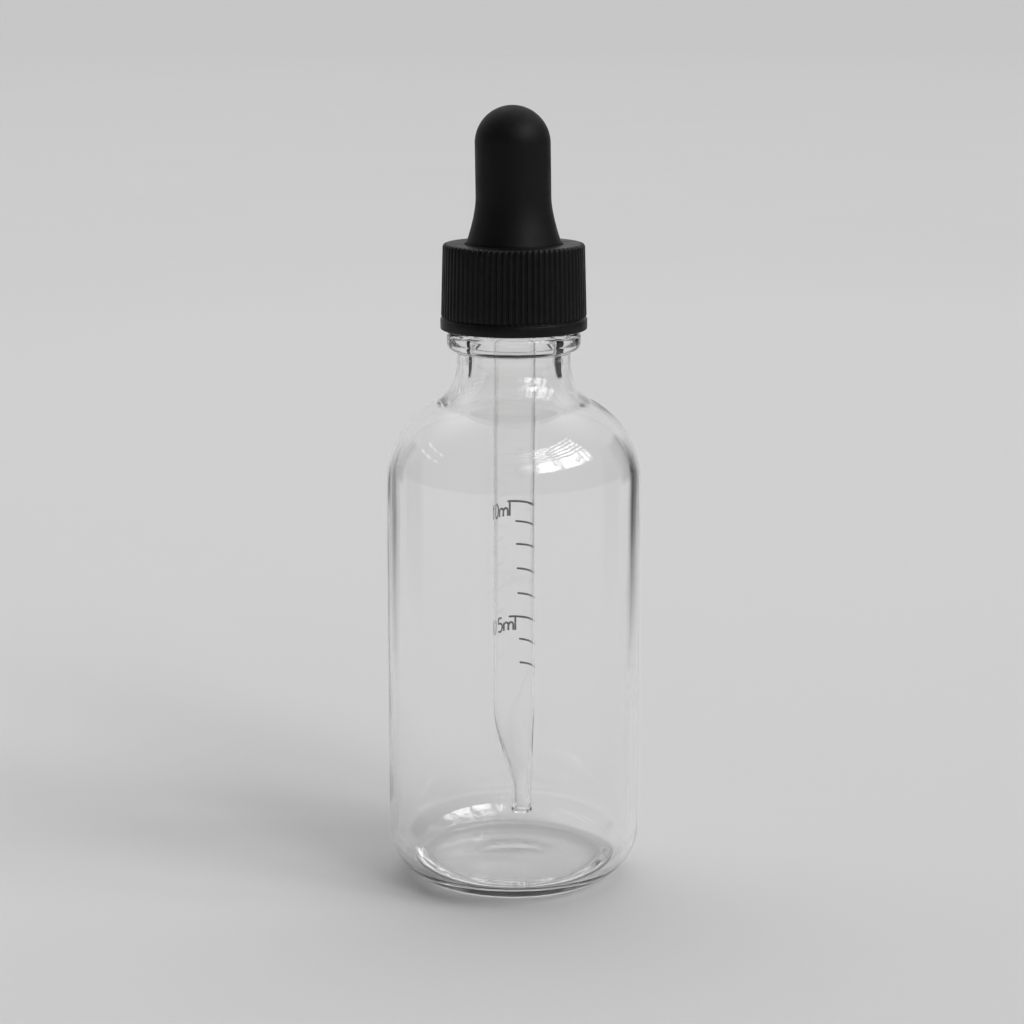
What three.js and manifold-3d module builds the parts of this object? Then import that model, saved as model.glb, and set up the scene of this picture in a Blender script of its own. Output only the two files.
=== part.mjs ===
// Medicine dropper: a round glass bottle of 2 fl oz (60 ml) closed by a screw cap that carries a rubber
// bulb and a glass pipette. Millimetres, +Z up. The origin is the centre of the bottle's foot, on the surface
// it stands on. Four separate pieces: bottle, cap, bulb and pipette.
import * as THREE from 'three';
import { mergeVertices } from 'three/addons/utils/BufferGeometryUtils.js';
import Module from 'manifold-3d';

const wasm = await Module();
wasm.setup();

// ---- driving dimensions ----------------------------------------------------------------------------------
const SIDES = 44;               // facets round a turned piece

const BODY_R = 19.3;            // outside radius of the bottle
const WALL = 1.3;               // glass wall of the straight body and the heel
const HEEL_R = 8;               // rounding between wall and foot
const FOOT_IN_R = 9.9;          // inner edge of the flat ring that the bottle stands on
const PUSH_UP = 0.6;            // height of the hollow under the foot
const FLOOR_Z = 3.2;            // inside floor at its outer edge
const FLOOR_CROWN = 0.3;        // rise of the inside floor to its middle
const FLOOR_FILLET = 1;         // inside rounding between floor and heel
const SHOULDER_Z = 62.5;        // height where the shoulder's curve starts
const SHOULDER_R = 13.5;        // radius of the shoulder's curve
const NECK_R = 8.63;            // outside radius of the neck
const NECK_FILLET = 6.4;        // outside curve from shoulder to neck
const NECK_FILLET_IN = 7;       // inside curve from shoulder to neck
const BORE_R = 6.3;             // radius of the mouth
const BEAD_R = 10.1;            // ring under the cap
const BEAD_Z = 84.2;            // middle of that ring
const BEAD_SECTION = [          // from the neck up: how far in from its edge, and height over its middle
  [BEAD_R - NECK_R, -2.6], [1.02, -2.1], [0.45, -1.3], [0, -0.4], [0, 0.3], [0.4, 0.9],
];
const LIP_Z = 94.4;             // top of the glass
const LIP_ROUND = 0.35;         // rounding of the lip's edges

const PITCH = 3.175;            // thread pitch, 8 turns to the inch
const THREAD_ROOT = 1.7;        // width of a thread ridge at its foot
const THREAD_CREST = 0.7;       // width of a thread ridge at its top
const GLASS_THREAD = { root: 8.75, crest: 9.6, z: 88.3, from: 0, turns: 1.35 };
const THREAD_STEPS = 30;        // steps of the thread's helix in a turn

const CAP_TOP_Z = 98.4;
const CAP_BOTTOM_Z = 85.6;
const CAP_TOP_R = 10.66;        // rib tips at the top edge
const CAP_SKIRT_R = 10.93;      // rib tips at the foot of the ribs
const CAP_BORE_R = 9.95;        // inside wall of the cap
const BAND_R = 11.04;           // plain band under the ribs
const BAND_H = 1.65;
const BAND_GROOVE = 0.25;       // narrow groove between band and ribs
const PANEL = 1.3;              // thickness of the cap's top
const CAP_HOLE_R = 7.35;        // hole that the bulb comes through
const RIBS = 74;
const RIB_DEPTH = 0.25;
const RIB_TOOTH = [[0, 0], [0.22, 0], [0.42, 1], [0.8, 1]];   // share of a rib's pitch, share of its depth
const CAP_THREAD = { root: 9.95, crest: 9.05, from: 60, turns: 1.4 };

const BULB_R = 5.65;            // straight part of the bulb
const BULB_TOP_Z = 118.85;
const BULB_FLARE_R = 7.16;      // foot of the flare, where it enters the cap
const BULB_STRAIGHT_Z = 105.2;  // where the flare starts to spread
const FLANGE_R = 9.2;           // foot of the bulb, held between cap and lip
const GAP = 0.3;                // clearance between pieces that bear on each other
const BULB_WALL = 1.15;
const BULB_SEAT_Z = 97.6;       // ledge inside the bulb that the pipette's collar stands on
const BULB_SEAT_R = 5.2;
const BULB_SIDES = 40;
const GRIP = 0.2;               // the bulb's foot stands this far clear of the pipette

const PIPETTE_R = 3.2;
const PIPETTE_BORE = 2.7;
const PIPETTE_TOP_Z = 100;
const COLLAR = { r: 3.95, z: 99, half: 0.7 };
const TIP_Z = 9.8;
const TIP_R = 1.55;
const TIP_BORE = 0.8;
const TIP_RING_R = 1.62;        // thickened, melted rim of the tip
const TAPER_LOW_Z = 14.5;
const TAPER_HIGH_Z = 27;
const TIP_OFFSET = 1.15;        // the drawn tip stands this far off the tube's axis, towards +X
const PIPETTE_SIDES = 28;

const COLOURS = {
  glass: { color: 0xdde4e2, roughness: 0.05, metalness: 0 },
  plastic: { color: 0x111113, roughness: 0.45, metalness: 0 },
  rubber: { color: 0x161617, roughness: 0.75, metalness: 0 },
};

// ---- helpers ---------------------------------------------------------------------------------------------
const TURN = 2 * Math.PI;

/** Points of an arc round (cr, cz), from angle a to angle b in degrees, as [radius, height] pairs. */
function arc(cr, cz, radius, a, b, steps) {
  const points = [];
  for (let i = 0; i <= steps; i += 1) {
    const t = THREE.MathUtils.degToRad(a + ((b - a) * i) / steps);
    points.push([cr + radius * Math.cos(t), cz + radius * Math.sin(t)]);
  }
  return points;
}

/** Smooth step from 0 to 1 as x goes from a to b. */
function ease(x, a, b) {
  return THREE.MathUtils.smoothstep(x, a, b);
}

/** A profile of [radius, height] pairs turned round the Z axis. */
function turned(profile, sides = SIDES) {
  const clean = profile.filter(([r, z], i) => i === 0
    || Math.hypot(r - profile[i - 1][0], z - profile[i - 1][1]) > 1e-4);
  const geometry = new THREE.LatheGeometry(clean.map(([r, z]) => new THREE.Vector2(r, z)), sides);
  geometry.rotateX(Math.PI / 2);
  return geometry;
}

/** A closed geometry as a solid. */
function solid(geometry) {
  const bare = geometry.clone();
  bare.deleteAttribute('normal');
  bare.deleteAttribute('uv');
  const merged = mergeVertices(bare, 1e-4);
  const index = Array.from(merged.index.array);
  const whole = [];
  for (let i = 0; i < index.length; i += 3) {
    const [a, b, c] = index.slice(i, i + 3);
    if (a !== b && b !== c && c !== a) whole.push(a, b, c);
  }
  const made = new wasm.Manifold(new wasm.Mesh({
    numProp: 3,
    vertProperties: new Float32Array(merged.attributes.position.array),
    triVerts: new Uint32Array(whole),
  }));
  return made.volume() < 0 ? flipped(merged, whole) : made;
}

/** The same mesh with its faces turned the other way. */
function flipped(merged, index) {
  const turnedRound = [];
  for (let i = 0; i < index.length; i += 3) turnedRound.push(index[i], index[i + 2], index[i + 1]);
  return new wasm.Manifold(new wasm.Mesh({
    numProp: 3,
    vertProperties: new Float32Array(merged.attributes.position.array),
    triVerts: new Uint32Array(turnedRound),
  }));
}

/** A solid back as a geometry. */
function geometryOf(made) {
  const mesh = made.getMesh();
  const geometry = new THREE.BufferGeometry();
  geometry.setAttribute('position', new THREE.BufferAttribute(mesh.vertProperties, 3));
  geometry.setIndex(new THREE.BufferAttribute(mesh.triVerts, 1));
  geometry.computeVertexNormals();
  return geometry;
}

/**
 * A right-hand helical ridge between the radii foot and crest, a little sunk into its wall at the foot.
 * It fades to the wall over a sixth of a turn at both ends.
 */
function ridge(foot, crest, startZ, fromDeg, turns) {
  const steps = Math.round(turns * THREAD_STEPS);
  const inward = Math.sign(crest - foot);
  const sunk = foot - inward * 0.3;
  const positions = [];
  const index = [];
  for (let i = 0; i <= steps; i += 1) {
    const done = (i / steps) * turns;
    const fade = Math.min(ease(done, 0, 1 / 6), ease(turns - done, 0, 1 / 6));
    const top = foot + (crest - foot) * Math.max(fade, 0.02);
    const angle = THREE.MathUtils.degToRad(fromDeg) + done * TURN;
    const z = startZ + done * PITCH;
    const section = [
      [sunk, z - THREAD_ROOT / 2 - 0.15], [top, z - THREAD_CREST / 2],
      [top, z + THREAD_CREST / 2], [sunk, z + THREAD_ROOT / 2 + 0.15],
    ];
    for (const [r, h] of section) positions.push(r * Math.cos(angle), r * Math.sin(angle), h);
  }
  for (let i = 0; i < steps; i += 1) {
    for (let k = 0; k < 4; k += 1) {
      const a = 4 * i + k;
      const b = 4 * i + ((k + 1) % 4);
      index.push(a, b, a + 4, b, b + 4, a + 4);
    }
  }
  const last = 4 * steps;
  index.push(0, 2, 1, 0, 3, 2, last, last + 1, last + 2, last, last + 2, last + 3);
  const geometry = new THREE.BufferGeometry();
  geometry.setAttribute('position', new THREE.Float32BufferAttribute(positions, 3));
  geometry.setIndex(index);
  return geometry;
}

/** The S-shaped outline from a round shoulder into a neck, from the bottom up. */
function shoulderToNeck(centreR, shoulderRadius, neckR, filletRadius, steps) {
  const filletR = neckR + filletRadius;
  const across = filletR - centreR;
  const up = Math.sqrt((shoulderRadius + filletRadius) ** 2 - across ** 2);
  const meet = THREE.MathUtils.radToDeg(Math.atan2(up, across));
  return [
    ...arc(centreR, SHOULDER_Z, shoulderRadius, 0, meet, steps),
    ...arc(filletR, SHOULDER_Z + up, filletRadius, 180 + meet, 180, Math.ceil(steps / 2)).slice(1),
  ];
}

/** A mesh with its name and material. */
function piece(name, geometry, look) {
  const mesh = new THREE.Mesh(geometry, new THREE.MeshStandardMaterial(look));
  mesh.name = name;
  return mesh;
}

// ---- the pieces ------------------------------------------------------------------------------------------

/** The bottle: one turned glass body with a helical thread on its finish. */
function bottle() {
  const heelStartR = BODY_R - HEEL_R;
  const shoulderCentre = BODY_R - SHOULDER_R;
  const outside = [
    ...[0, 0.35, 0.65, 1].map((share) => [FOOT_IN_R * share, PUSH_UP * (1 - ease(share, 0, 1))]),
    ...arc(heelStartR, HEEL_R, HEEL_R, -90, 0, 6),
    ...shoulderToNeck(shoulderCentre, SHOULDER_R, NECK_R, NECK_FILLET, 7),
    ...BEAD_SECTION.map(([inward, up]) => [BEAD_R - inward, BEAD_Z + up]),
    [GLASS_THREAD.root, BEAD_Z + 1.1],
    ...arc(GLASS_THREAD.root - LIP_ROUND, LIP_Z - LIP_ROUND, LIP_ROUND, 0, 90, 2),
  ];
  const heelInR = HEEL_R - WALL;
  const down = HEEL_R - FLOOR_Z - FLOOR_FILLET;
  const reach = Math.sqrt((heelInR - FLOOR_FILLET) ** 2 - down ** 2);
  const meet = -THREE.MathUtils.radToDeg(Math.atan2(down, reach));
  const floorEdgeR = heelStartR + reach;
  const inside = [
    ...[0, 0.5, 0.8].map((share) => [floorEdgeR * share, FLOOR_Z + FLOOR_CROWN * (1 - share ** 2)]),
    ...arc(floorEdgeR, FLOOR_Z + FLOOR_FILLET, FLOOR_FILLET, -90, meet, 2),
    ...arc(heelStartR, HEEL_R, heelInR, meet, 0, 4).slice(1),
    ...shoulderToNeck(shoulderCentre, SHOULDER_R - WALL, BORE_R, NECK_FILLET_IN, 6),
    ...arc(BORE_R + LIP_ROUND, LIP_Z - LIP_ROUND, LIP_ROUND, 180, 90, 2),
  ];
  const body = solid(turned([...outside, ...inside.reverse()]));
  const { root, crest, z, from, turns } = GLASS_THREAD;
  return geometryOf(body.add(solid(ridge(root, crest, z, from, turns))));
}

/** The ribbed skirt: a prism with a tooth for each rib, drawn in towards the top. */
function ribbedSkirt(bottomZ, topZ) {
  const outline = new THREE.Shape();
  const valley = CAP_SKIRT_R - RIB_DEPTH;
  for (let i = 0; i < RIBS; i += 1) {
    for (const [share, high] of RIB_TOOTH) {
      const r = valley + RIB_DEPTH * high;
      const angle = ((i + share) / RIBS) * TURN;
      const at = [r * Math.cos(angle), r * Math.sin(angle)];
      if (i + share === 0) outline.moveTo(...at);
      else outline.lineTo(...at);
    }
  }
  outline.closePath();
  const geometry = new THREE.ExtrudeGeometry(outline, { depth: topZ - bottomZ, bevelEnabled: false });
  const position = geometry.attributes.position;
  for (let i = 0; i < position.count; i += 1) {
    const share = position.getZ(i) / (topZ - bottomZ);
    const scale = THREE.MathUtils.lerp(1, CAP_TOP_R / CAP_SKIRT_R, share);
    position.setXYZ(i, position.getX(i) * scale, position.getY(i) * scale, position.getZ(i) + bottomZ);
  }
  return geometry;
}

/** The screw cap: ribbed skirt, plain band, top with the bulb's hole, and the thread inside. */
function cap() {
  const bandTop = CAP_BOTTOM_Z + BAND_H;
  const valley = CAP_SKIRT_R - RIB_DEPTH;
  const skirt = solid(ribbedSkirt(bandTop + BAND_GROOVE, CAP_TOP_Z));
  const band = solid(turned([
    [0, CAP_BOTTOM_Z], [BAND_R - 0.15, CAP_BOTTOM_Z], [BAND_R, CAP_BOTTOM_Z + 0.2],
    [BAND_R, bandTop - 0.15], [BAND_R - 0.15, bandTop], [valley, bandTop],
    [valley, bandTop + 2 * BAND_GROOVE], [0, bandTop + 2 * BAND_GROOVE],
  ], RIBS));
  const hollow = solid(turned([
    [0, CAP_BOTTOM_Z - 1], [CAP_BORE_R + 0.25, CAP_BOTTOM_Z - 1], [CAP_BORE_R + 0.25, CAP_BOTTOM_Z],
    [CAP_BORE_R, CAP_BOTTOM_Z + 0.5], [CAP_BORE_R, CAP_TOP_Z - PANEL - 0.4],
    [CAP_BORE_R - 0.4, CAP_TOP_Z - PANEL], [CAP_HOLE_R, CAP_TOP_Z - PANEL],
    [CAP_HOLE_R, CAP_TOP_Z + 1], [0, CAP_TOP_Z + 1],
  ]));
  const { root, crest, from, turns } = CAP_THREAD;
  const startZ = GLASS_THREAD.z + ((from - GLASS_THREAD.from) / 360) * PITCH - PITCH / 2;
  const thread = solid(ridge(root, crest, startZ, from, turns));
  return geometryOf(skirt.add(band).subtract(hollow).add(thread));
}

/** Outside radius of the bulb between its foot at the cap's top and the start of its dome. */
function bulbRadius(z) {
  const spread = (BULB_STRAIGHT_Z - z) / (BULB_STRAIGHT_Z - CAP_TOP_Z);
  return BULB_R + (BULB_FLARE_R - BULB_R) * Math.max(spread, 0) ** 1.6;
}

/** The rubber bulb: a hollow dome that flares to a neck in the cap's hole and a flange under the cap. */
function bulb() {
  const domeZ = BULB_TOP_Z - BULB_R;
  const flangeLow = LIP_Z + GAP;
  const flangeHigh = CAP_TOP_Z - PANEL - GAP;
  const flare = [0, 0.17, 0.34, 0.5, 0.67, 0.84, 1].map((share) => {
    const z = THREE.MathUtils.lerp(CAP_TOP_Z + 0.3, BULB_STRAIGHT_Z, share);
    return [bulbRadius(z), z];
  });
  const outside = [
    [PIPETTE_R + GRIP, flangeLow], [FLANGE_R, flangeLow], [FLANGE_R, flangeHigh],
    [BULB_FLARE_R - 0.1, flangeHigh], ...flare, ...arc(0, domeZ, BULB_R, 0, 90, 8),
  ];
  const insideFlare = flare.slice(2).map(([r, z]) => [r - BULB_WALL, z]);
  const inside = [
    [PIPETTE_R + GRIP, BULB_SEAT_Z], [BULB_SEAT_R, BULB_SEAT_Z], ...insideFlare,
    ...arc(0, domeZ, BULB_R - BULB_WALL, 0, 90, 6),
  ];
  return geometryOf(solid(turned([...outside, ...inside.reverse(), outside[0]], BULB_SIDES)));
}

/** How far the pipette's middle stands off the axis at height z. */
function tipOffset(z) {
  return TIP_OFFSET * (1 - ease(z, TAPER_LOW_Z - 1, TAPER_HIGH_Z - 1));
}

/** The glass pipette: a tube with a collar at its top, drawn down to a fine tip set off its axis. */
function pipette() {
  const taper = (low, high, z) => low + (high - low) * ease(z, TAPER_LOW_Z - 2, TAPER_HIGH_Z);
  const heights = [0, 0.15, 0.3, 0.45, 0.6, 0.75, 0.9, 1]
    .map((share) => THREE.MathUtils.lerp(TAPER_LOW_Z, TAPER_HIGH_Z, share));
  const outside = [
    [TIP_BORE + 0.3, TIP_Z], [TIP_RING_R - 0.2, TIP_Z], [TIP_RING_R, TIP_Z + 0.3], [TIP_RING_R, TIP_Z + 0.6],
    [TIP_R, TIP_Z + 1.1], ...heights.map((z) => [taper(TIP_R, PIPETTE_R, z), z]),
    [PIPETTE_R, COLLAR.z - COLLAR.half], [COLLAR.r, COLLAR.z - COLLAR.half / 2],
    [COLLAR.r, COLLAR.z + COLLAR.half / 2], [PIPETTE_R, PIPETTE_TOP_Z - 0.2],
    [PIPETTE_R - 0.2, PIPETTE_TOP_Z],
  ];
  const inside = [
    [TIP_BORE, TIP_Z + 0.3], ...heights.map((z) => [taper(TIP_BORE, PIPETTE_BORE, z), z]),
    [PIPETTE_BORE, PIPETTE_TOP_Z - 0.2], [PIPETTE_BORE + 0.2, PIPETTE_TOP_Z],
  ];
  const geometry = turned([...outside, ...inside.reverse(), outside[0]], PIPETTE_SIDES);
  const position = geometry.attributes.position;
  for (let i = 0; i < position.count; i += 1) {
    position.setX(i, position.getX(i) + tipOffset(position.getZ(i)));
  }
  return geometryOf(solid(geometry));
}

// ---- the assembly ----------------------------------------------------------------------------------------
const dropper = new THREE.Group();
dropper.add(piece('bottle', bottle(), COLOURS.glass));

const closure = new THREE.Group();
closure.add(piece('cap', cap(), COLOURS.plastic));
closure.add(piece('bulb', bulb(), COLOURS.rubber));
closure.add(piece('pipette', pipette(), COLOURS.glass));
dropper.add(closure);

export default dropper;
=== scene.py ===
"""The looks of the medicine dropper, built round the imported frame.

Sizes are in millimetres in this script's own tables and become metres where a mesh is made. The axis of
every turned piece is the frame's Z axis. Each piece has its own function, and so does each material.
"""
import math

import bmesh
import bpy
import numpy as np
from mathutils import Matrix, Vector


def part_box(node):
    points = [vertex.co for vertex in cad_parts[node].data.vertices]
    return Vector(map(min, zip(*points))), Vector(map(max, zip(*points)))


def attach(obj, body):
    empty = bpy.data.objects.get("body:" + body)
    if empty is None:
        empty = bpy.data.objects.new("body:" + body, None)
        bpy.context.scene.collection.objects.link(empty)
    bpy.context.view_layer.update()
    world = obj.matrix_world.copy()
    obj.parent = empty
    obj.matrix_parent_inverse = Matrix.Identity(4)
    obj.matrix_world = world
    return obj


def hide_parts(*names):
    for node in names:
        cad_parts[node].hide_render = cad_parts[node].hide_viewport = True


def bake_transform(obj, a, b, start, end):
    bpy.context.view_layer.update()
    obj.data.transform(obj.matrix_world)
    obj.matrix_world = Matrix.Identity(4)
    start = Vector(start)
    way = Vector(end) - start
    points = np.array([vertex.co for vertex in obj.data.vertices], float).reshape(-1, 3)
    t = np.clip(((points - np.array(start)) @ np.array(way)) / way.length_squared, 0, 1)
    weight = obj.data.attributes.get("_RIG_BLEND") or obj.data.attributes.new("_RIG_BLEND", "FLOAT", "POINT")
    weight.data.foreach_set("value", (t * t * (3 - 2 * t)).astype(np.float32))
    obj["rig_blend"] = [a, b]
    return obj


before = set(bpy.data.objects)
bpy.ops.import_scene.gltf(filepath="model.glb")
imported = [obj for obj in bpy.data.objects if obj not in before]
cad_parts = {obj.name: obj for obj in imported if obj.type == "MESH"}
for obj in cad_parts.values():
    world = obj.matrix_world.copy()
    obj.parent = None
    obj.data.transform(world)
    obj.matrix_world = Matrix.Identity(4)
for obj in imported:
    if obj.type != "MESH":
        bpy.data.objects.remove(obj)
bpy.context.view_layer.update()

MM = 0.001
TURN = 2 * math.pi


def size_of(node):
    """(radius, lowest z, highest z) of a turned CAD node, in millimetres."""
    low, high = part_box(node)
    return (high.y - low.y) / 2 / MM, low.z / MM, high.z / MM


# ---- driving dimensions, in millimetres ----------------------------------------------------
BODY_R, _, LIP_Z = size_of("bottle")
BAND_R, CAP_LOW_Z, CAP_TOP_Z = size_of("cap")
FLANGE_R, FLANGE_Z, BULB_TOP_Z = size_of("bulb")
COLLAR_R, TIP_Z, PIPETTE_TOP_Z = size_of("pipette")

# The bottle.
WALL = 1.3                      # glass wall of the body, thinner on the left and thicker on the right
WALL_LEAN = 0.12                # how much thinner or thicker
WALL_WAVES = (                  # the inner wall's waves: number round it, depth, start and twist for each mm
    (1, WALL_LEAN, -0.3, 0.0),
    (3, 0.03, 0.0, 0.05),
    (5, 0.02, 0.0, -0.03),
)
HEEL_R = 8.0
WAVES_GROW = (HEEL_R, 20.0)     # heights over which the waves come in
WAVES_FADE = (70.0, 79.0)       # and go out again
FOOT_IN_R = 10.6                # the foot's ring starts here, round the push-up
PUSH_UP = 0.4
FLOOR_Z = 3.2
FLOOR_CROWN = 0.1
FLOOR_FILLET = 1.0              # between the inner floor and the heel, which follows the outside
RING_R = 13.9                   # a low moulded ring on the inner floor
RING_H = 0.14
RING_HALF = 0.6
RING_GAP = 0.1                  # between the crowned floor and the ring
SHOULDER_Z = 62.5
SHOULDER_R = 13.5
NECK_R = 8.63
NECK_FILLET = 6.4
NECK_FILLET_IN = 8.4
BORE_R = 6.25
BEAD_R = 10.1
BEAD_Z = 84.2
NECK_TOP_Z = BEAD_Z - 2.9
BEAD_ARCS = (                   # centre (radius, height over BEAD_Z), radius, from and to degrees, steps
    (NECK_R + 0.55, -2.2, 0.55, 180, 130, 4),
    (BEAD_R - 1.35, -0.55, 1.35, -50, 0, 8),
    (BEAD_R - 0.9, 0.25, 0.9, 0, 70, 6),
)
FINISH_Z = BEAD_Z + 1.3         # the threaded finish starts here
FINISH_SLOPE = (0.25, -0.15)    # the soft corner at its foot
LIP_ROUND = 0.5

# The thread.
PITCH = 3.175
GLASS_THREAD = {"root": 8.75, "crest": 9.6, "z": 88.3, "turns": 1.35, "from": 0.0}
CAP_THREAD = {"root": 9.95, "crest": 9.05, "turns": 1.4, "from": 60.0}
CAP_THREAD_AHEAD = (CAP_THREAD["from"] - GLASS_THREAD["from"]) / 360 * PITCH
CAP_THREAD["z"] = GLASS_THREAD["z"] + CAP_THREAD_AHEAD - PITCH / 2   # between two turns of the glass
CREST_HALF, ROOT_HALF = 0.32, 0.9
THREAD_FADE = 0.15              # turns over which a thread grows or fades out

# The cap. A soft corner is a table of how far out and up each point is from the sharp corner.
CAP_TOP_R = 10.66
CAP_SKIRT_R = 10.93
CAP_HOLE_R = 7.35
CAP_FLAT_R = CAP_TOP_R - 1.6    # a ring of points that keeps the top flat
BAND_H = 1.65
GROOVE_H = 0.25
PANEL = 1.3
HOLE_CORNER = ((0, -0.2), (0.06, -0.06), (0.2, 0))
TOP_CORNER = ((-0.7, 0), (-0.42, -0.02), (-0.22, -0.09), (-0.08, -0.23), (0, -0.45))
SKIRT_CORNER = ((0, 0.3), (-0.04, 0.12), (-0.14, 0))
GROOVE_CORNERS = (-0.02, 0.03)  # how far up the groove's inner corners are from its edges
BAND_TOP_CORNER = ((-0.16, 0), (-0.05, -0.04), (0, -0.15))
BAND_LOW_CORNER = ((0, 0.22), (-0.05, 0.08), (-0.18, 0))
MOUTH_CORNER = ((0.35, 0), (0.1, 0.12), (0, 0.4))
PANEL_CORNER = ((0, -0.4), (-0.12, -0.12), (-0.4, 0))
RIBS = 74
RIB_DEPTH = 0.25
RIB_STEPS = 12                  # points across one rib
RIB_FLANK = (0.16, 0.62)        # a rib's side, between the middles of the valley (0) and the rib (1)
RIB_GROW = (CAP_TOP_R - 0.75, CAP_TOP_R - 0.4)   # radii over which the ribs come in on the top

# The bulb.
BULB_R = 5.65
BULB_FLARE_R = 7.16
FLARE_POWER = 1.6
FLARE_LOW_Z = CAP_TOP_Z + 0.05
BULB_STRAIGHT_Z = 105.2
BULB_WALL = 1.15
BULB_LEAN = -0.2                # the top of the bulb leans this far along X
FLANGE_ROUND = 0.3
FLANGE_PLAY = 0.1               # between the flange and the cap
FLANGE_TOP_Z = CAP_TOP_Z - PANEL - FLANGE_PLAY
FLANGE_CORNER = ((0.15, 0), (0.02, 0.15))        # where the bulb's neck leaves the flange
GRIP_PLAY = 0.12                # between the bulb's hole and the tube
GRIP_ROUND = 0.2
SEAT_Z = 97.6
SEAT_R = 5.2
SEAT_SLOPE = 0.05
HOLLOW_FROM = 5                 # the hollow starts at this point of the flare
PINCH_RISE = (CAP_TOP_Z + 1.5, CAP_TOP_Z + 11.5)   # the pinch grows to its full depth over these heights
PINCH_FALL = (CAP_TOP_Z + 14.5, BULB_TOP_Z)        # and weakens towards the dome's top
PINCH_LOST = 0.6                # by this share
PINCH_CORE = 3.0                # inside this radius, on the dome, the pinch fades out

# The pipette.
TUBE_R = 3.2
TUBE_BORE = 3.0
TUBE_SHIFT = 0.15               # the tube stands this far along X from the bottle's axis
TUBE_CENTRED = (80, 96)         # and comes back to the axis over these heights
TIP_R = 1.5
TIP_RING_R = 1.62
TIP_RING_ROUND = 0.4
TIP_BORE = 0.8
TIP_MOUTH_ROUND = 0.35
TIP_NECK = ((0.03, 0.95), (0, 1.3), (0, 2.6))    # out from TIP_R and up from the tip
TIP_OFFSET = 1.15
TAPER_LOW_Z, TAPER_HIGH_Z = 14.5, 27.0
COLLAR_Z = 99.0
COLLAR_HALF = 0.7
COLLAR_ROUND = 0.55
COLLAR_FOOT = ((0, -0.3), (0.15, 0))             # out from the tube and up from the collar's foot
COLLAR_HEAD = 0.1               # the collar's top starts this far out from the tube
TUBE_RIM_FLAT = 0.03            # half the flat part of the tube's top edge

# The printed scale.
DOSE_LINES = (58.5, 55.4, 51.9, 48.0, 44.1, 40.4, 36.8, 33.1)
LABELS = {0: ("1.0", -1.15, -0.7), 5: ("0.5", -1.5, -0.35)}   # text, line start and text end across the tube
UNIT = "ml"
LINE_FROM, LINE_TO = 0.1, 4.75  # ends of a line without a label, across the tube
LINE_DRIFT = 0.032              # mm that the print shifts round the tube for each mm down it
LINE_END_DRIFT = 0.6            # share of that at a line's far end
WOBBLE, WOBBLE_STEP = 0.05, 2.4 # uneven slope of the lines
LETTER_H = 2.15
LETTER_GAP = 0.34
LETTER_DROP = 0.1               # between a line and its label
INK_W = 0.32                    # width of a printed line
INK_H = 0.03                    # thickness of the ink
INK_SINK = 0.005                # how deep it sits in the glass
INK_STEP = 0.09                 # about the step along a stroke
INK_POINT = 0.04                # a stroke's end has the square root of this share of its width

# ---- light, in linear brightness and degrees -----------------------------------------------
FRONT_LIGHT = 0.09
BACK_LIGHT = 0.62
BACK_STEP = (-0.15, 0.75)       # from the viewer's side (-1) to the back (1)
TOP_LIGHT = 2.9                 # how much brighter it is overhead
TOP_STEP = (28.0, 62.0)
WINDOW = (6.0, 89.0, 25.0, 58.0, 4.0)            # left, right, foot, top and softness
WINDOW_LIGHT = 12.5
WINDOW_SOFT = 0.8               # share of it that reaches anything but shiny surfaces
WINDOW_RAMP = (8.0, 42.0, 0.08, 1.0)             # it is dimmer towards its left side
WINDOW_COLUMNS = (26.0, 0.86, 0.0)               # every so many degrees, open share, light left on a bar
WINDOW_PATCHES = (0.42, 0.54, 0.25, 1.0)         # what stands before it: dark to light, and the light left
PATCH_SCALE = 13.0
BLIND_LOW = 37.0                # the blind hangs down to this height
BLIND_SOFT = 3.0
BLIND_SLATS = (3.4, 0.5, 0.0)
SMALL_WINDOW = (-112.0, -82.0, 21.0, 40.0, 2.0)
SMALL_LIGHT = 2.5
SMALL_SLATS = (8.0, 0.3, 0.0)
SMALL_COLUMNS = (11.0, 0.5, 0.0)
SLAT_SOFT = 0.12                # share of a slat's pitch over which its edge is soft
GLASS_BOUNCES = 32
CARD_FADE = 0.028               # metres over which a card fades out at its foot and top
CARDS = {                       # metres: x, near y, far y, foot, height near and far; then how dark it is
    "black_card_left": (-0.36, 0.19, 0.30, 0.008, 0.25, 0.25, 1.0),
    "black_card_right": (0.36, 0.15, 0.43, 0.008, 0.25, 0.25, 1.0),
    "grey_card_left": (-0.06, 0.03, 0.082, 0.014, 0.09, 0.082, 0.62),
    "grey_card_right": (0.06, 0.03, 0.095, 0.014, 0.09, 0.08, 0.85),
}

# ---- floor and camera, in metres -----------------------------------------------------------
FLOOR_REACH = 14.0
FLOOR_DROP = 0.00006            # it lies this far under the glass
# Painted shade: the floor's colour is palest at this point behind the object and darker away from it.
PAINTED_FALLOFF_CENTRE = (0.06, 0.45, 0)
PAINTED_FLOOR_FALLOFF = ((0.2, 0.55, 1.0, 0.96), (0.6, 4.0, 1.0, 0.93))   # painted shade darkening the floor: near and far from there, and the shades
FLOOR_SHADE = (0.8, 0.82)
POOL = 0.24                     # painted glow under the bottle, where the glass gathers light
POOL_EDGE = (0.0105, 0.0165)
CAMERA_PLACE = (-0.00027, -0.392, 0.1388)
CAMERA_DOWN = 11.73             # degrees
CAMERA_LENS, CAMERA_FILM = 92.3, 36              # millimetres
CAMERA_FAR = 100

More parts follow.
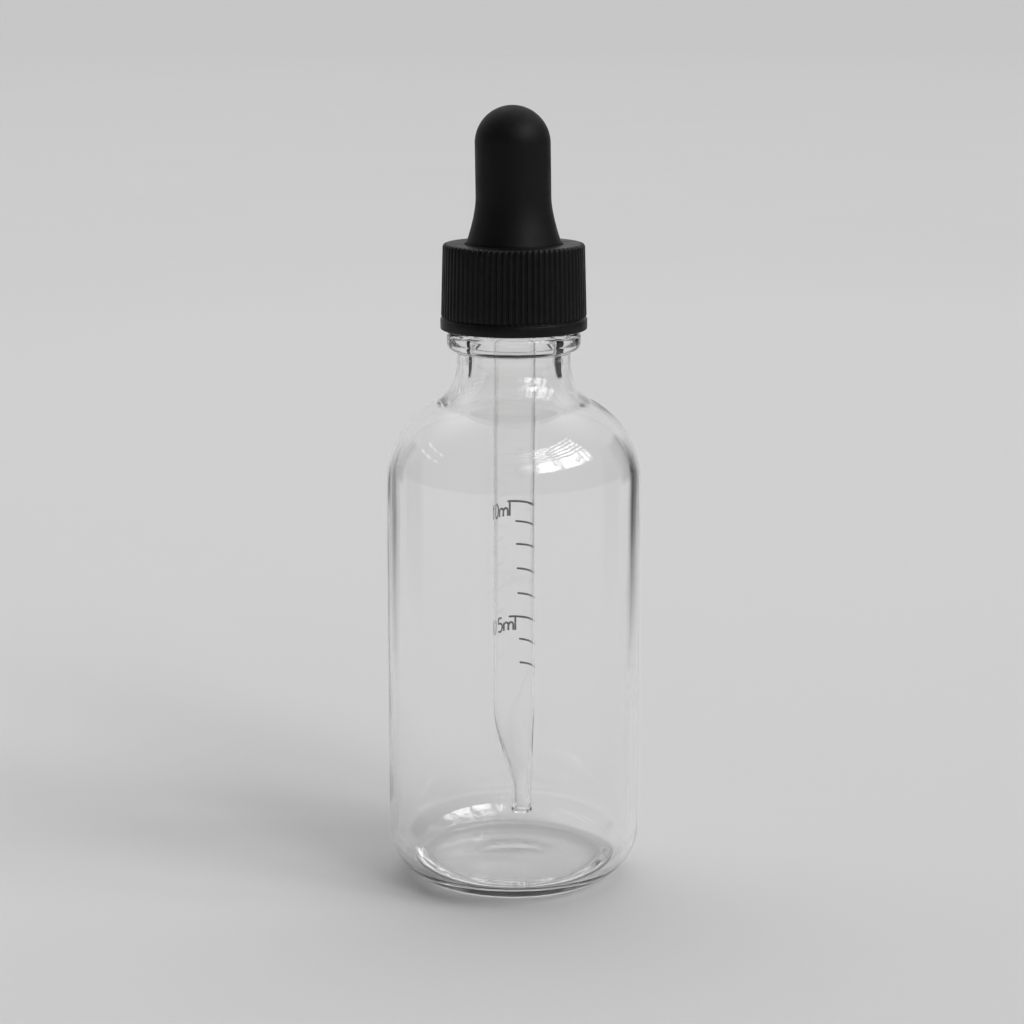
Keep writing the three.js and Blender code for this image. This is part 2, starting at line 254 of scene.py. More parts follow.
# ---- surfaces: linear colours, ranges of roughness, and heights of grain in metres ---------
GLASS_CLEAR = (0.998, 0.999, 0.998, 1)
GLASS_ROUGH = (0.0, 0.03)
BOTTLE_RIPPLE, BOTTLE_STRETCH = 0.00006, (1, 1, 0.35)       # ripples are longer along the axis
PIPETTE_RIPPLE, PIPETTE_STRETCH = 0.000004, (1, 1, 0.2)
CAP_BLACK, CAP_WORN = (0.0026, 0.0021, 0.0023), (0.008, 0.0072, 0.0075)
CAP_ROUGH = (0.36, 0.52)
CAP_GRAIN = 0.00002
RUBBER_BLACK, RUBBER_BLOOM = (0.0016, 0.0011, 0.0013), (0.0036, 0.003, 0.0032)
RUBBER_ROUGH = (0.48, 0.62)
RUBBER_GRAIN = 0.00003
INK_DARK, INK_PALE = (0.012, 0.012, 0.014), (0.05, 0.05, 0.055)
INK_ROUGH = (0.5, 0.7)
CARD_DARK, CARD_PALE = (0.004, 0.004, 0.004), (0.01, 0.01, 0.01)
BLACK, PAPER_WHITE = (0, 0, 0), (1, 0.992, 0.994)


# ---- mesh helpers --------------------------------------------------------------------------
def arc(cr, cz, radius, a, b, steps):
    """Points of an arc round (cr, cz) from a to b degrees."""
    return [
        (cr + radius * math.cos(math.radians(t)), cz + radius * math.sin(math.radians(t)))
        for t in np.linspace(a, b, steps + 1)
    ]


def line(a, b, steps):
    """Points from a to b, without a itself."""
    return [tuple(np.array(a) + (np.array(b) - a) * t) for t in np.linspace(0, 1, steps + 1)[1:]]


def corner(r, z, softened):
    """The points of a softened corner. Each row says how far out and up one is from the sharp corner."""
    return [(r + out, z + up) for out, up in softened]


def ease(x, a, b):
    """0 at a and 1 at b, with a smooth start and end."""
    t = np.clip((np.asarray(x, float) - a) / (b - a), 0, 1)
    return t * t * (3 - 2 * t)


def add_mesh(name, points, faces):
    """A smooth mesh object from points in millimetres, its faces turned outwards."""
    mesh = bpy.data.meshes.new(name)
    mesh.from_pydata([tuple(p) for p in np.asarray(points) * MM], [], faces)
    bm = bmesh.new()
    bm.from_mesh(mesh)
    bmesh.ops.recalc_face_normals(bm, faces=bm.faces)
    if bm.calc_volume(signed=True) < 0:
        bmesh.ops.reverse_faces(bm, faces=bm.faces)
    bm.to_mesh(mesh)
    bm.free()
    mesh.shade_smooth()
    obj = bpy.data.objects.new(name, mesh)
    bpy.context.scene.collection.objects.link(obj)
    return obj


def turned(name, profile, sides, shape):
    """A profile of (radius, height) turned round Z. It runs from axis to axis, or closes on itself.

    shape(ring, radius, height, angles) returns a ring's radii, and how far the ring shifts along X."""
    angles = np.arange(sides) / sides * TURN
    points, rings = [], []
    for ring, (r, z) in enumerate(profile):
        if r == 0:
            rings.append([len(points)])
            points.append((0, 0, z))
            continue
        height = np.full(sides, z)
        radius, shift = shape(ring, np.full(sides, r), height, angles)
        rings.append(list(range(len(points), len(points) + sides)))
        points += list(zip(radius * np.cos(angles) + shift, radius * np.sin(angles), height))
    pairs = list(zip(rings, rings[1:]))
    if len(rings[0]) > 1:
        pairs.append((rings[-1], rings[0]))
    faces = []
    for low, high in pairs:
        for i in range(sides):
            j = (i + 1) % sides
            if len(low) == 1:
                faces.append((low[0], high[j], high[i]))
            elif len(high) == 1:
                faces.append((low[i], low[j], high[0]))
            else:
                faces.append((low[i], low[j], high[j], high[i]))
    return add_mesh(name, points, faces)


def threaded(radius, height, angles, thread):
    """The radii of one ring of a threaded wall."""
    share = np.zeros_like(angles)
    for lap in range(-1, 4):
        done = (angles - math.radians(thread["from"])) / TURN + lap
        near = 1 - ease(np.abs(height - thread["z"] - done * PITCH), CREST_HALF, ROOT_HALF)
        fade = ease(done, 0, THREAD_FADE) * ease(thread["turns"] - done, 0, THREAD_FADE)
        share = np.maximum(share, near * fade)
    return radius + (thread["crest"] - thread["root"]) * share


# ---- the pieces ----------------------------------------------------------------------------
def shoulder(radius, neck_r, fillet, steps):
    """The outline from the round shoulder into the neck, from the bottom up."""
    centre_r = BODY_R - SHOULDER_R
    fillet_r = neck_r + fillet
    across = fillet_r - centre_r
    up = math.sqrt((radius + fillet) ** 2 - across ** 2)
    meet = math.degrees(math.atan2(up, across))
    return (
        arc(centre_r, SHOULDER_Z, radius, 0, meet, steps)
        + arc(fillet_r, SHOULDER_Z + up, fillet, 180 + meet, 180, steps)[1:]
    )


def bottle_outside():
    """The bottle's outer outline, from the middle of its push-up to the lip."""
    outside = [
        (r, PUSH_UP * (1 + math.cos(math.pi * r / FOOT_IN_R)) / 2) for r in np.linspace(0, FOOT_IN_R, 14)
    ]
    outside += arc(BODY_R - HEEL_R, HEEL_R, HEEL_R, -90, 0, 26)
    outside += line(outside[-1], (BODY_R, SHOULDER_Z), 12)[:-1]
    outside += shoulder(SHOULDER_R, NECK_R, NECK_FILLET, 26)
    outside += [(NECK_R, NECK_TOP_Z)]
    for centre_r, over, radius, start, end, steps in BEAD_ARCS:
        outside += arc(centre_r, BEAD_Z + over, radius, start, end, steps)
    root = GLASS_THREAD["root"]
    outside += corner(root, FINISH_Z, (FINISH_SLOPE, (0, 0)))
    outside += line(outside[-1], (root, LIP_Z - LIP_ROUND), 44)
    return outside + arc(root - LIP_ROUND, LIP_Z - LIP_ROUND, LIP_ROUND, 0, 90, 6)[1:]


def bottle_inside():
    """The bottle's inner outline, from the middle of its floor to the lip."""
    heel_r = HEEL_R - WALL
    down = HEEL_R - FLOOR_Z - FLOOR_FILLET
    reach = math.sqrt((heel_r - FLOOR_FILLET) ** 2 - down ** 2)
    meet = -math.degrees(math.atan2(down, reach))
    inside = [
        (r, FLOOR_Z + FLOOR_CROWN * (1 - (r / RING_R) ** 2))
        for r in np.linspace(0, RING_R - RING_HALF - RING_GAP, 12)
    ]
    inside += [
        (RING_R + t * RING_HALF, FLOOR_Z + RING_H * (1 + math.cos(math.pi * t)) / 2)
        for t in np.linspace(-1, 1, 11)
    ]
    inside += arc(BODY_R - HEEL_R + reach, FLOOR_Z + FLOOR_FILLET, FLOOR_FILLET, -90, meet, 8)
    inside += arc(BODY_R - HEEL_R, HEEL_R, heel_r, meet, 0, 16)[1:]
    inside += line(inside[-1], (BODY_R - WALL, SHOULDER_Z), 14)[:-1]
    inside += shoulder(SHOULDER_R - WALL, BORE_R, NECK_FILLET_IN, 22)
    inside += line(inside[-1], (BORE_R, LIP_Z - LIP_ROUND), 6)
    return inside + arc(BORE_R + LIP_ROUND, LIP_Z - LIP_ROUND, LIP_ROUND, 180, 90, 6)[1:]


def make_bottle():
    """Clear glass bottle: push-up foot, uneven wall, rounded shoulder, bead and threaded finish."""
    outside = bottle_outside()

    def shape(ring, radius, height, angles):
        z = height[0]
        if ring >= len(outside):
            waves = sum(
                depth * np.cos(count * angles + start + twist * z)
                for count, depth, start, twist in WALL_WAVES
            )
            radius = radius - waves * ease(z, *WAVES_GROW) * (1 - ease(z, *WAVES_FADE))
        elif FINISH_Z < z < LIP_Z - LIP_ROUND:
            radius = threaded(radius, height, angles, GLASS_THREAD)
        return radius, 0.0

    return turned("bottle_body", outside + bottle_inside()[::-1], 176, shape)


def make_cap():
    """Black screw cap: fine ribs with rounded tops, a groove, a plain band and the thread inside."""
    band_top = CAP_LOW_Z + BAND_H
    rib_low = band_top + GROOVE_H
    panel_z = CAP_TOP_Z - PANEL
    root = CAP_THREAD["root"]

    top = corner(CAP_HOLE_R, CAP_TOP_Z, HOLE_CORNER) + [(CAP_FLAT_R, CAP_TOP_Z)]
    ribbed = corner(CAP_TOP_R, CAP_TOP_Z, TOP_CORNER)
    skirt_end = corner(CAP_SKIRT_R, rib_low, SKIRT_CORNER)
    ribbed += line(ribbed[-1], skirt_end[0], 10) + skirt_end[1:]
    groove_r = CAP_SKIRT_R - RIB_DEPTH
    band = [(groove_r, z + up) for z, up in zip((rib_low, band_top), GROOVE_CORNERS)]
    band += corner(BAND_R, band_top, BAND_TOP_CORNER) + corner(BAND_R, CAP_LOW_Z, BAND_LOW_CORNER)
    band += corner(root, CAP_LOW_Z, MOUTH_CORNER)
    wall_end = corner(root, panel_z, PANEL_CORNER)
    wall = line(band[-1], wall_end[0], 52)

    first_rib = len(top)
    first_band = first_rib + len(ribbed)
    first_wall = first_band + len(band)
    last_wall = first_wall + len(wall) - 1

    def shape(ring, radius, height, angles):
        if first_rib <= ring < first_band:
            across = (angles * RIBS / TURN) % 1.0
            dip = 1 - ease(np.abs(across - 0.5) * 2, *RIB_FLANK)
            radius = radius - RIB_DEPTH * dip * ease(radius[0], *RIB_GROW)
        elif first_wall <= ring < last_wall:
            radius = threaded(radius, height, angles, CAP_THREAD)
        return radius, 0.0

    profile = top + ribbed + band + wall + wall_end[1:] + [(CAP_HOLE_R, panel_z)]
    return turned("cap_shell", profile, RIBS * RIB_STEPS, shape)


def bulb_radius(z):
    """The bulb's outer radius over the cap, flared towards its foot."""
    spread = (BULB_STRAIGHT_Z - z) / (BULB_STRAIGHT_Z - CAP_TOP_Z)
    return BULB_R + (BULB_FLARE_R - BULB_R) * spread ** FLARE_POWER


def make_bulb():
    """Black rubber bulb with its flange under the cap. Its outside and hollow are one closed surface."""
    dome_z = BULB_TOP_Z - BULB_R
    hole_r = TUBE_R + GRIP_PLAY
    flare = [(bulb_radius(z), z) for z in np.linspace(FLARE_LOW_Z, BULB_STRAIGHT_Z, 22)]
    outside = [
        (hole_r + GRIP_ROUND, FLANGE_Z),
        (FLANGE_R - FLANGE_ROUND, FLANGE_Z),
        (FLANGE_R, FLANGE_Z + FLANGE_ROUND),
        (FLANGE_R, FLANGE_TOP_Z - FLANGE_ROUND),
        (FLANGE_R - FLANGE_ROUND, FLANGE_TOP_Z),
    ]
    outside += corner(BULB_FLARE_R, FLANGE_TOP_Z, FLANGE_CORNER) + flare
    outside += line(flare[-1], (BULB_R, dome_z), 10)[:-1] + arc(0, dome_z, BULB_R, 0, 90, 26)[:-1]
    outside += [(0, BULB_TOP_Z)]
    inside = [(hole_r, FLANGE_Z + GRIP_ROUND), (hole_r, SEAT_Z), (SEAT_R, SEAT_Z + SEAT_SLOPE)]
    inside += [(r - BULB_WALL, z) for r, z in flare[HOLLOW_FROM:]]
    inside += line(inside[-1], (BULB_R - BULB_WALL, dome_z), 8)[:-1]
    inside += arc(0, dome_z, BULB_R - BULB_WALL, 0, 90, 14)[:-1] + [(0, BULB_TOP_Z - BULB_WALL)]

    def shape(ring, radius, height, angles):
        return radius, BULB_LEAN * ease(height[0], CAP_TOP_Z, BULB_TOP_Z)

    # The profile starts at the dome's top, goes down the outside and comes back up the inside.
    return turned("bulb_rubber_wall", outside[::-1] + inside, 128, shape)


def pinch(bulb):
    """Two fingers' pinch in place of the plain blend: where the joint slides along +X, both walls come in."""
    weights = bulb.data.attributes["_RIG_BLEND"].data
    for vertex, weight in zip(bulb.data.vertices, weights):
        x, y, z = vertex.co / MM
        out = math.hypot(x, y)
        kept = 1 - PINCH_LOST * ease(z, *PINCH_FALL)
        pressed = ease(z, *PINCH_RISE) * kept * ease(out, 0, PINCH_CORE)
        weight.value = -float(pressed) * x / max(out, PINCH_CORE / 10)


def taper(low, high, z):
    """A radius that grows from low at the tip to high at the tube."""
    return low + (high - low) * ease(z, TAPER_LOW_Z - 2, TAPER_HIGH_Z)


def make_pipette():
    """Clear glass tube, with a collar in the bulb and a drawn tip with a thick, melted rim."""
    heights = np.linspace(TAPER_LOW_Z, TAPER_HIGH_Z, 26)
    rim = (TUBE_R - TUBE_BORE) / 2 - TUBE_RIM_FLAT
    collar_foot = corner(TUBE_R, COLLAR_Z - COLLAR_HALF, COLLAR_FOOT)
    outside = arc(TIP_RING_R - TIP_RING_ROUND, TIP_Z + TIP_RING_ROUND, TIP_RING_ROUND, -90, 30, 8)
    outside += corner(TIP_R, TIP_Z, TIP_NECK)
    outside += [(taper(TIP_R, TUBE_R, z), z) for z in heights]
    outside += line(outside[-1], collar_foot[0], 10) + collar_foot[1:]
    outside += arc(COLLAR_R - COLLAR_ROUND, COLLAR_Z, COLLAR_ROUND, -60, 60, 8)
    outside += [(TUBE_R + COLLAR_HEAD, COLLAR_Z + COLLAR_HALF)]
    outside += arc(TUBE_R - rim, PIPETTE_TOP_Z - rim, rim, 0, 90, 4)
    inside = arc(TIP_BORE + TIP_MOUTH_ROUND, TIP_Z + TIP_MOUTH_ROUND, TIP_MOUTH_ROUND, -100, -180, 5)
    inside += [(taper(TIP_BORE, TUBE_BORE, z), z) for z in heights]
    inside += line(inside[-1], (TUBE_BORE, PIPETTE_TOP_Z - rim), 8)
    inside += arc(TUBE_BORE + rim, PIPETTE_TOP_Z - rim, rim, 180, 100, 4)[1:]

    def shape(ring, radius, height, angles):
        z = height[0]
        tube_shift = TUBE_SHIFT * (1 - ease(z, *TUBE_CENTRED))
        tip_shift = TIP_OFFSET * (1 - ease(z, TAPER_LOW_Z - 1, TAPER_HIGH_Z - 1))
        return radius, tube_shift + tip_shift

    return turned("pipette_tube", outside + inside[::-1], 96, shape)


# ---- the printed scale ---------------------------------------------------------------------
def ink_stroke(points, faces, path):
    """A thin raised line of ink along a path of (way round, height), on the pipette's outside."""
    path = np.array(path, float)
    dense = [path[0]]
    for a, b in zip(path, path[1:]):
        steps = max(1, int(np.hypot(*(b - a)) / INK_STEP))
        dense += [a + (b - a) * t for t in np.linspace(0, 1, steps + 1)[1:]]
    dense = np.array(dense)
    along = np.gradient(dense, axis=0)
    along /= np.maximum(np.linalg.norm(along, axis=1)[:, None], 1e-9)
    gone = np.r_[0, np.cumsum(np.linalg.norm(np.diff(dense, axis=0), axis=1))]
    from_end = np.clip(np.minimum(gone, gone[-1] - gone) / (INK_W / 2), 0, 1)
    half = INK_W / 2 * np.sqrt(np.clip(1 - (1 - from_end) ** 2, INK_POINT, 1))
    side = np.stack([-along[:, 1], along[:, 0]], 1) * half[:, None]
    base = len(points)
    for r in (TUBE_R - INK_SINK, TUBE_R + INK_H):
        for edge in (dense - side, dense + side):
            turn = edge[:, 0] / TUBE_R
            points += list(zip(r * np.sin(turn) + TUBE_SHIFT, r * np.cos(turn), edge[:, 1]))
    rows = len(dense)

    def at(edge, row):
        return base + edge * rows + row

    for row in range(rows - 1):
        for a, b in ((0, 1), (1, 3), (3, 2), (2, 0)):
            faces.append((at(a, row), at(b, row), at(b, row + 1), at(a, row + 1)))
    faces.append(tuple(at(edge, 0) for edge in (0, 2, 3, 1)))
    faces.append(tuple(at(edge, rows - 1) for edge in (0, 1, 3, 2)))


def oval(width, height, a, b):
    """Part of an oval from a to b degrees, its box's lower left corner at (0, 0)."""
    return [
        (width / 2 * (1 + math.cos(math.radians(t))), height / 2 * (1 + math.sin(math.radians(t))))
        for t in np.linspace(a, b, 20)
    ]


GLYPHS = {                      # width and strokes of each sign, 1 high
    "0": (0.52, [oval(0.52, 1, 90, 450)]),
    "1": (0.2, [[(0, 0.78), (0.2, 1), (0.2, 0)]]),
    "5": (0.5, [[(0.46, 1), (0.08, 1), (0.04, 0.56)], oval(0.5, 0.62, 130, -140)]),
    ".": (0.06, [[(0, 0), (0.06, 0.04)]]),
    "m": (0.78, [
        [(0, 0), (0, 0.62)],
        [(0, 0.4), (0.1, 0.58), (0.22, 0.62), (0.34, 0.56), (0.39, 0.42), (0.39, 0)],
        [(0.39, 0.4), (0.5, 0.58), (0.61, 0.62), (0.73, 0.56), (0.78, 0.42), (0.78, 0)],
    ]),
    "l": (0.0, [[(0, 0), (0, 1)]]),
}


def print_label(points, faces, text, right, line_z):
    """A label under a line, written leftwards from its right end."""
    low = line_z - LETTER_DROP - LETTER_H
    for sign in reversed(text):
        width, strokes = GLYPHS[sign]
        left = right - width * LETTER_H
        for stroke in strokes:
            ink_stroke(points, faces, [(left + x * LETTER_H, low + y * LETTER_H) for x, y in stroke])
        right = left - LETTER_GAP


def make_scale():
    """Dose lines and their numbers, printed to be read through the glass."""
    points, faces = [], []
    for i, z in enumerate(DOSE_LINES):
        shift = LINE_DRIFT * (DOSE_LINES[0] - z)
        wobble = WOBBLE * math.sin(WOBBLE_STEP * i)
        text, start, text_end = LABELS.get(i, ("", LINE_FROM, 0.0))
        end = LINE_TO + shift * LINE_END_DRIFT
        ink_stroke(points, faces, [(start + shift, z + wobble), (end, z - wobble)])
        if text:
            print_label(points, faces, text + UNIT, text_end + shift, z)
    return add_mesh("dose_scale", points, faces)


# ---- materials -----------------------------------------------------------------------------
class Nodes:
    """A small helper that makes and links shader nodes."""

    def __init__(self, name):
        self.material = bpy.data.materials.new(name)
        self.material.use_nodes = True
        self.tree = self.material.node_tree
        self.shader = self.tree.nodes["Principled BSDF"]

    def add(self, kind, **values):
        """A new node with its properties or sockets set by name."""
        node = self.tree.nodes.new(kind)
        for name, value in values.items():
            if hasattr(node, name):
                setattr(node, name, value)
            else:
                node.inputs[name.replace("_", " ")].default_value = value
        return node

    def link(self, source, target):
        self.tree.links.new(source, target)

    def drive(self, source, socket):
        """Let a pattern set one of the shader's own sockets."""
        self.link(source, self.shader.inputs[socket])

    def place(self, scale=(1, 1, 1)):
        """Coordinates fixed to the piece, in metres, stretched by scale."""
        where = self.add("ShaderNodeTexCoord")
        mapping = self.add("ShaderNodeMapping", Scale=scale)
        self.link(where.outputs["Object"], mapping.inputs["Vector"])
        return mapping.outputs["Vector"]

    def distance(self, where, centre):
        """How far a place is from a centre, in metres."""
        node = self.add("ShaderNodeVectorMath", operation="DISTANCE")
        node.inputs[1].default_value = centre
        self.link(where, node.inputs[0])
        return node.outputs["Value"]

    def noise(self, where, scale, detail=2.0, roughness=0.5):
        """A soft cloudy pattern, 0 to 1."""
        node = self.add("ShaderNodeTexNoise", Scale=scale, Detail=detail, Roughness=roughness)
        self.link(where, node.inputs["Vector"])
        return node.outputs["Fac"]

    def remap(self, value, low, high, to_low, to_high):
        """Values from low to high stretched to another range."""
        node = self.add("ShaderNodeMapRange", From_Min=low, From_Max=high, To_Min=to_low, To_Max=to_high)
        self.link(value, node.inputs["Value"])
        return node.outputs["Result"]

    def blend(self, factor, dark, light):
        """A colour between two, by a factor."""
        node = self.add("ShaderNodeMix", data_type="RGBA")
        node.inputs[6].default_value = (*dark, 1)
        node.inputs[7].default_value = (*light, 1)
        self.link(factor, node.inputs[0])
        return node.outputs[2]

    def maths(self, operation, a, b):
        node = self.add("ShaderNodeMath", operation=operation)
        self.link(a, node.inputs[0])
        self.link(b, node.inputs[1])
        return node.outputs[0]

    def bump(self, value, distance, strength=1.0):
        """Let a pattern raise the surface by up to that many metres."""
        node = self.add("ShaderNodeBump", Strength=strength, Distance=distance)
        self.link(value, node.inputs["Height"])
        self.drive(node.outputs["Normal"], "Normal")

    def set(self, **values):
        """Values that are the same all over the surface."""
        for name, value in values.items():
            self.shader.inputs[name.replace("_", " ")].default_value = value


def glass(name, ripple, stretch):
    """Clear glass with the slight ripple and uneven polish of a moulded or drawn wall."""
    n = Nodes(name)
    n.set(Base_Color=GLASS_CLEAR, Transmission_Weight=1.0, IOR=1.5)
    where = n.place(stretch)
    n.drive(n.remap(n.noise(where, scale=55, detail=3.0), 0.4, 0.8, *GLASS_ROUGH), "Roughness")
    n.bump(n.noise(where, scale=90), ripple)
    return n.material


def cap_plastic():
    """Black moulded polypropylene: satin, with a fine grain and a little grey handling wear."""
    n = Nodes("cap_plastic")
    where = n.place()
    worn = n.remap(n.noise(where, scale=900, detail=4.0, roughness=0.65), 0.45, 0.8, 0.0, 1.0)
    n.drive(n.blend(worn, CAP_BLACK, CAP_WORN), "Base Color")
    n.drive(n.remap(n.noise(where, scale=350, detail=3.0), 0.3, 0.75, *CAP_ROUGH), "Roughness")
    n.bump(n.noise(where, scale=6000), CAP_GRAIN, strength=0.35)
    n.set(IOR=1.49, Specular_IOR_Level=0.22)
    return n.material


def bulb_rubber():
    """Matt black rubber with a soft bloom and a fine grain."""
    n = Nodes("bulb_rubber")
    where = n.place()
    bloom = n.remap(n.noise(where, scale=160, detail=4.0, roughness=0.6), 0.35, 0.75, 0.0, 1.0)
    n.drive(n.blend(bloom, RUBBER_BLACK, RUBBER_BLOOM), "Base Color")
    n.drive(n.remap(n.noise(where, scale=420, detail=3.0), 0.3, 0.75, *RUBBER_ROUGH), "Roughness")
    n.bump(n.noise(where, scale=5200, detail=3.0, roughness=0.6), RUBBER_GRAIN, strength=0.4)
    n.set(IOR=1.5, Specular_IOR_Level=0.2)
    return n.material


def ink():
    """Fired-on dark ink, a little uneven."""
    n = Nodes("scale_ink")
    where = n.place()
    n.drive(n.blend(n.noise(where, scale=1500, detail=3.0), INK_DARK, INK_PALE), "Base Color")
    n.drive(n.remap(n.noise(where, scale=2500), 0.3, 0.7, *INK_ROUGH), "Roughness")
    return n.material


def paper():
    """The pale floor: painted shade darkens it away from a point behind the object, and a painted glow under
    it stands for the light that the glass gathers there.
    """
    n = Nodes("pale_floor")
    where = n.place()
    # Painted shade: the floor gets darker with distance from a point behind the object.
    away = n.distance(where, PAINTED_FALLOFF_CENTRE)
    shade = n.maths("MULTIPLY", *(n.remap(away, *fade) for fade in PAINTED_FLOOR_FALLOFF))
    shade = n.maths("MULTIPLY", shade, n.remap(n.noise(where, scale=6, detail=3.0), 0.0, 1.0, *FLOOR_SHADE))
    n.drive(n.blend(shade, BLACK, PAPER_WHITE), "Base Color")
    # Painted glow: the floor itself gives off light under the bottle, fading out across POOL_EDGE.
    n.drive(n.remap(n.distance(where, (0, 0, 0)), *POOL_EDGE, POOL, 0.0), "Emission Strength")
    n.set(Roughness=0.9, Specular_IOR_Level=0.2, Emission_Color=(1, 1, 1, 1))
    return n.material


def card(name, near, far, low, high_near, high_far, dark):
    """A dark card's surface. It fades out at its foot and along its top, which may slope."""
    n = Nodes(name)
    where = n.place()
    n.drive(n.blend(n.noise(where, scale=40), CARD_DARK, CARD_PALE), "Base Color")
    split = n.add("ShaderNodeSeparateXYZ")
    n.link(where, split.inputs[0])
    # The height, raised by as much as the top has sloped down by there.
    sloped = n.remap(split.outputs["Y"], near, far, 0.0, high_near - high_far)
    level = n.maths("ADD", split.outputs["Z"], sloped)
    foot_fade = n.remap(split.outputs["Z"], low, low + CARD_FADE, 0.0, dark)
    top_fade = n.remap(level, high_near - CARD_FADE, high_near, 1.0, 0.0)
    n.drive(n.maths("MULTIPLY", foot_fade, top_fade), "Alpha")
    n.set(Roughness=1.0, Specular_IOR_Level=0.0)
    return n.material


# ---- floor, light and camera ---------------------------------------------------------------
def add_sheet(name, corners, material):
    """A flat sheet of the set, from its corners in metres."""
    mesh = bpy.data.meshes.new(name)
    mesh.from_pydata(corners, [], [(0, 1, 2, 3)])
    mesh.materials.append(material)
    obj = bpy.data.objects.new(name, mesh)
    bpy.context.scene.collection.objects.link(obj)
    return obj


def make_floor():
    """The wide pale floor."""
    signs = ((-1, -1), (1, -1), (1, 1), (-1, 1))
    corners = [(x * FLOOR_REACH, y * FLOOR_REACH, -FLOOR_DROP) for x, y in signs]
    obj = add_sheet("floor", corners, paper())


class Sky:
    """Small maths on the direction that the studio's light comes from."""

    def __init__(self):
        world = bpy.data.worlds.new("studio")
        bpy.context.scene.world = world
        world.use_nodes = True
        self.tree = world.node_tree
        self.background = self.tree.nodes["Background"]
        self.where = self.tree.nodes.new("ShaderNodeTexCoord").outputs["Generated"]
        split = self.tree.nodes.new("ShaderNodeSeparateXYZ")
        self.tree.links.new(self.where, split.inputs["Vector"])
        x, y, z = (split.outputs[i] for i in range(3))
        self.back = y
        # Degrees: 0 is the viewer's side and +90 is +X; height is above the horizon.
        self.round = self.maths("DEGREES", self.maths("ARCTAN2", x, self.times(y, -1.0)))
        self.height = self.maths("DEGREES", self.maths("ARCSINE", z))

    def maths(self, operation, a, b=0.0):
        node = self.tree.nodes.new("ShaderNodeMath")
        node.operation = operation
        for value, socket in ((a, node.inputs[0]), (b, node.inputs[1])):
            if isinstance(value, float):
                socket.default_value = value
            else:
                self.tree.links.new(value, socket)
        return node.outputs[0]

    def times(self, a, b):
        return self.maths("MULTIPLY", a, b)

    def shiny(self):
        """1 for light that a shiny surface reflects, 0 for the rest."""
        return self.tree.nodes.new("ShaderNodeLightPath").outputs["Is Glossy Ray"]

    def patches(self, scale):
        """Soft irregular patches, as of things that stand in front of a window."""
        node = self.tree.nodes.new("ShaderNodeTexNoise")
        node.inputs["Scale"].default_value = scale
        self.tree.links.new(self.where, node.inputs["Vector"])
        return node.outputs["Fac"]

    def step(self, value, low, high, to_low=0.0, to_high=1.0):
        """A soft step from low to high."""
        node = self.tree.nodes.new("ShaderNodeMapRange")
        node.interpolation_type = "SMOOTHSTEP"
        numbers = (low, high, to_low, to_high)
        for name, number in zip(("From Min", "From Max", "To Min", "To Max"), numbers):
            node.inputs[name].default_value = number
        self.tree.links.new(value, node.inputs["Value"])
        return node.outputs["Result"]

    def pane(self, left, right, low, high, soft):
        """1 inside a soft-edged opening of that many degrees, 0 outside."""
        left_side = self.step(self.round, left, left + soft)
        right_side = self.step(self.round, right, right - soft)
        foot = self.step(self.height, low, low + soft)
        top = self.step(self.height, high, high - soft)
        return self.times(self.times(left_side, right_side), self.times(foot, top))

    def slats(self, value, pitch, open_share, bar):
        """Bars across an opening: 1 between them, less on them."""
        share = self.maths("FRACT", self.maths("DIVIDE", value, pitch))
        return self.step(share, open_share - SLAT_SOFT, open_share, 1.0, bar)


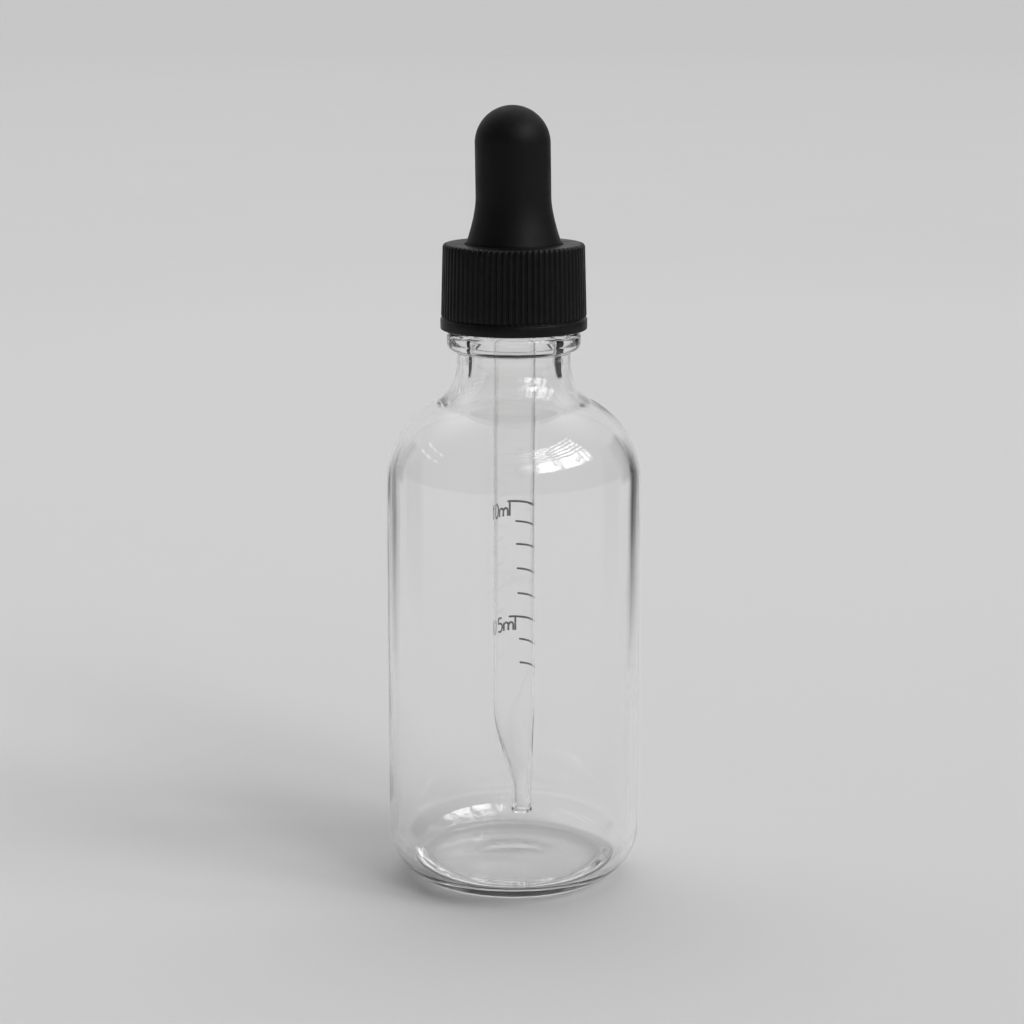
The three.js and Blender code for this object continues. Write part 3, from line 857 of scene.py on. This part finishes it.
def make_world():
    """The studio: pale behind the object, dim on the viewer's side, with a slatted window at the right."""
    sky = Sky()
    around = sky.step(sky.back, *BACK_STEP, FRONT_LIGHT, BACK_LIGHT)
    light = sky.times(around, sky.step(sky.height, *TOP_STEP, 1.0, TOP_LIGHT))

    blind = sky.step(sky.height, BLIND_LOW, BLIND_LOW + BLIND_SOFT)
    under_blind = sky.maths("SUBTRACT", 1.0, blind)
    slatted = sky.maths("MAXIMUM", sky.slats(sky.height, *BLIND_SLATS), under_blind)
    window = sky.times(sky.pane(*WINDOW), slatted)
    window = sky.times(window, sky.slats(sky.round, *WINDOW_COLUMNS))
    window = sky.times(window, sky.step(sky.round, *WINDOW_RAMP))
    window = sky.times(window, sky.step(sky.patches(PATCH_SCALE), *WINDOW_PATCHES))
    window = sky.times(window, sky.step(sky.shiny(), 0.0, 1.0, WINDOW_SOFT, 1.0))

    small = sky.pane(*SMALL_WINDOW)
    small = sky.times(small, sky.slats(sky.height, *SMALL_SLATS))
    small = sky.times(small, sky.slats(sky.round, *SMALL_COLUMNS))

    light = sky.maths("ADD", light, sky.times(window, WINDOW_LIGHT))
    light = sky.maths("ADD", light, sky.times(small, SMALL_LIGHT))
    sky.tree.links.new(light, sky.background.inputs["Strength"])
    sky.background.inputs["Color"].default_value = (1, 1, 1, 1)


def make_cards():
    """Dark cards beside the set. Only the glass sees them: they darken its edges."""
    for name, (x, near, far, low, high_near, high_far, dark) in CARDS.items():
        corners = [(x, near, low), (x, far, low), (x, far, high_far), (x, near, high_near)]
        obj = add_sheet(name, corners, card(name, near, far, low, high_near, high_far, dark))
        obj.visible_camera = obj.visible_diffuse = obj.visible_shadow = False


def make_camera():
    """The viewer's place: well back, a little above the cap, looking slightly down."""
    data = bpy.data.cameras.new("camera")
    data.lens = CAMERA_LENS
    data.sensor_width = CAMERA_FILM
    data.clip_end = CAMERA_FAR
    obj = bpy.data.objects.new("camera", data)
    bpy.context.scene.collection.objects.link(obj)
    obj.location = CAMERA_PLACE
    obj.rotation_euler = (math.radians(90 - CAMERA_DOWN), 0, 0)
    bpy.context.scene.camera = obj


# ---- the whole scene -----------------------------------------------------------------------
make_camera()

bottle = make_bottle()
bottle.data.materials.append(glass("bottle_glass", BOTTLE_RIPPLE, BOTTLE_STRETCH))
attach(bottle, "bottle")
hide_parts("bottle")

cap = make_cap()
cap.data.materials.append(cap_plastic())
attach(cap, "cap")
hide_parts("cap")

pipette = make_pipette()
pipette.data.materials.append(glass("pipette_glass", PIPETTE_RIPPLE, PIPETTE_STRETCH))
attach(pipette, "pipette")
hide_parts("pipette")

scale = make_scale()
scale.data.materials.append(ink())
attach(scale, "pipette")

bulb = make_bulb()
bulb.data.materials.append(bulb_rubber())
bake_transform(bulb, "pipette", "bulb", start=(0, 0, 0.098), end=(0, 0, 0.119))
pinch(bulb)
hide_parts("bulb")

make_floor()
make_world()
make_cards()

view = bpy.context.scene.view_settings
view.view_transform = "Standard"
cycles = bpy.context.scene.cycles
cycles.max_bounces = cycles.transmission_bounces = cycles.glossy_bounces = GLASS_BOUNCES
